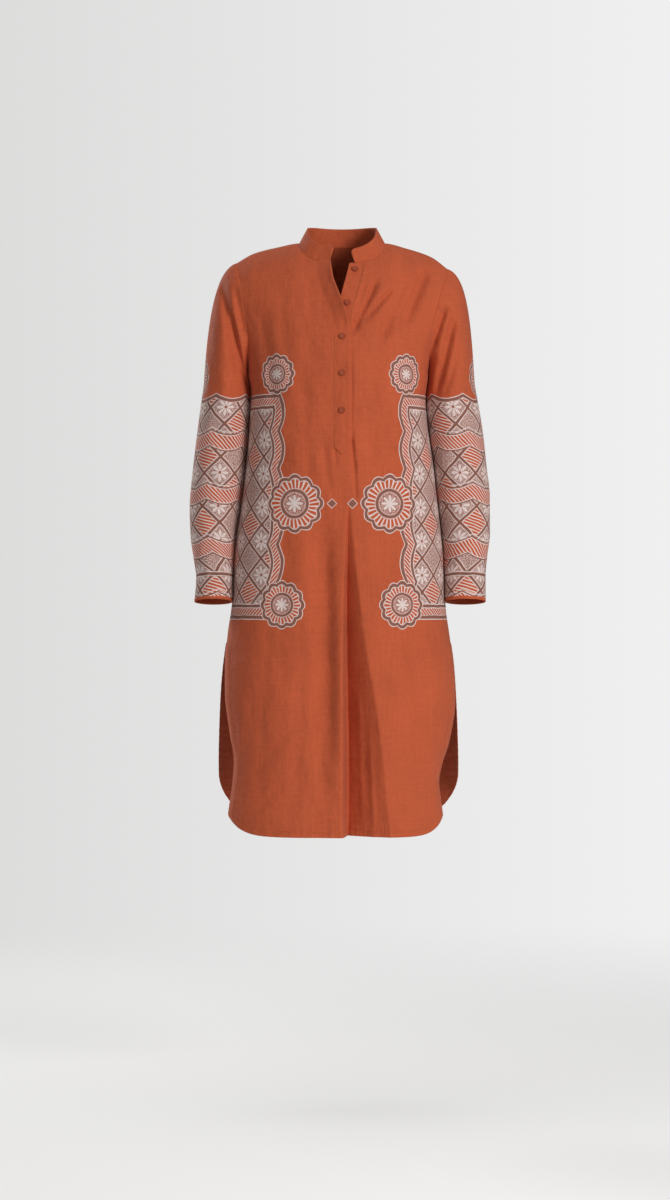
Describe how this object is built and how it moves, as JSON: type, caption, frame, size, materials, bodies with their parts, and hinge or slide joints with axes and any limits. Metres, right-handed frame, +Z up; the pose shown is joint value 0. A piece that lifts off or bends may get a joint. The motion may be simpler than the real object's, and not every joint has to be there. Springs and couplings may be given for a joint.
{
  "type": "kurta tunic",
  "caption": "Long linen tunic with stand collar, half placket, long cuffed sleeves, centre pleat, side slits and curved hem, hollow as worn.",
  "frame": {"origin": "on the shoulder line, at the height where the shoulders meet the neck, 5 mm to the wearer's right of the garment's centre", "axes": "+Z up, the front faces -Y, the wearer's right is at -X"},
  "size_m": [0.5099, 0.269, 1.0315],
  "materials": {
    "linen": "matte woven linen, rust, with a printed panel on the sides and sleeves",
    "button": "matte, self-coloured"
  },
  "bodies": {
    "root": {"front_panel": "linen", "back_panel": "linen", "collar_band": "linen", "placket_over": "linen", "placket_under": "linen", "sleeve_right": "linen", "sleeve_left": "linen", "cuff_right": "linen", "cuff_left": "linen", "button_1": "button", "button_2": "button", "button_3": "button", "button_4": "button", "button_5": "button"}
  },
  "joints": []
}
